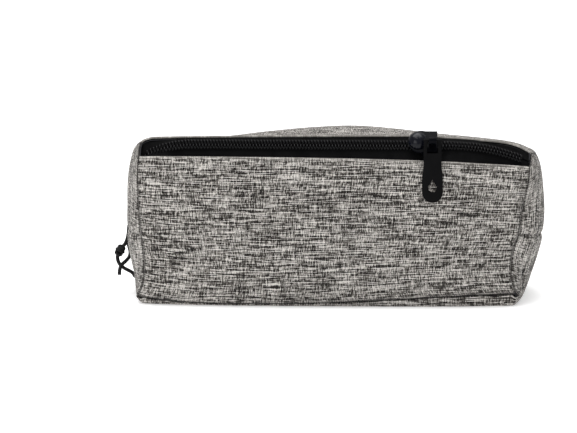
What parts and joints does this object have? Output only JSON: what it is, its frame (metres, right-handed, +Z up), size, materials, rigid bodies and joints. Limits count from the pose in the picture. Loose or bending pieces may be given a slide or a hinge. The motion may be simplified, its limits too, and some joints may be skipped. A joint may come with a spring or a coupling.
{
  "type": "pencil case",
  "caption": "Soft boxed pencil case in grey melange fabric with a coil zip along its upper front edge, a slider with a hanging puller, and a small hang cord at one end.",
  "frame": {"origin": "centre of the case's footprint, on the surface it stands on", "axes": "+X along the case towards the slider's end, -Y the front with the zip and puller, +Z up"},
  "size_m": [0.2091, 0.0626, 0.0832],
  "materials": {
    "melange_fabric": "woven melange, matt",
    "lining": "plain weave, slight sheen",
    "seam_binding": "matt binding tape",
    "zip_tape": "knitted tape, matt",
    "zip_coil": "satin nylon",
    "slider_metal": "satin black paint",
    "spring_steel": "plain",
    "puller": "matt moulded",
    "hang_cord": "braided cord"
  },
  "bodies": {
    "case": {"front_panel": "melange_fabric", "top_panel": "melange_fabric", "back_panel": "melange_fabric", "bottom_panel": "melange_fabric", "left_end_upper": "melange_fabric", "left_end_lower": "melange_fabric", "right_end_upper": "melange_fabric", "right_end_lower": "melange_fabric", "lining": "lining", "left_seam_binding": "seam_binding", "right_seam_binding": "seam_binding", "zip_tape_front": "zip_tape", "zip_tape_rear": "zip_tape", "coil_front": "zip_coil", "coil_rear": "zip_coil", "hang_cord_tail": "hang_cord", "hang_cord_stub": "hang_cord", "hang_cord_knot": "hang_cord"},
    "front_lip": {"front_panel_lip": "melange_fabric", "front_lip_lining": "lining", "zip_tape_front_lip": "zip_tape", "coil_front_lip": "zip_coil"},
    "top_lip": {"top_panel_lip": "melange_fabric", "top_lip_lining": "lining", "zip_tape_rear_lip": "zip_tape", "coil_rear_lip": "zip_coil"},
    "slider": {"slider_body": "slider_metal", "slider_crown": "slider_metal", "slider_spring": "spring_steel"},
    "puller": {"puller": "puller"}
  },
  "joints": [
    {"name": "slider_travel", "type": "slide", "parent": "case", "child": "slider", "axis": [1, 0, 0], "range_m": [-0.106, 0.014]},
    {"name": "puller_swing", "type": "hinge", "parent": "slider", "child": "puller", "pos_m": [0.0459, -0.02487, 0.08014], "axis": [-1, 0, 0], "range_deg": [0, 170]},
    {"name": "front_lip_open", "type": "hinge", "parent": "case", "child": "front_lip", "pos_m": [0, -0.0294, 0.007], "axis": [1, 0, 0], "range_deg": [0, 14]},
    {"name": "top_lip_open", "type": "hinge", "parent": "case", "child": "top_lip", "pos_m": [0, 0.018, 0.0768], "axis": [-1, 0, 0], "range_deg": [0, 22]}
  ]
}
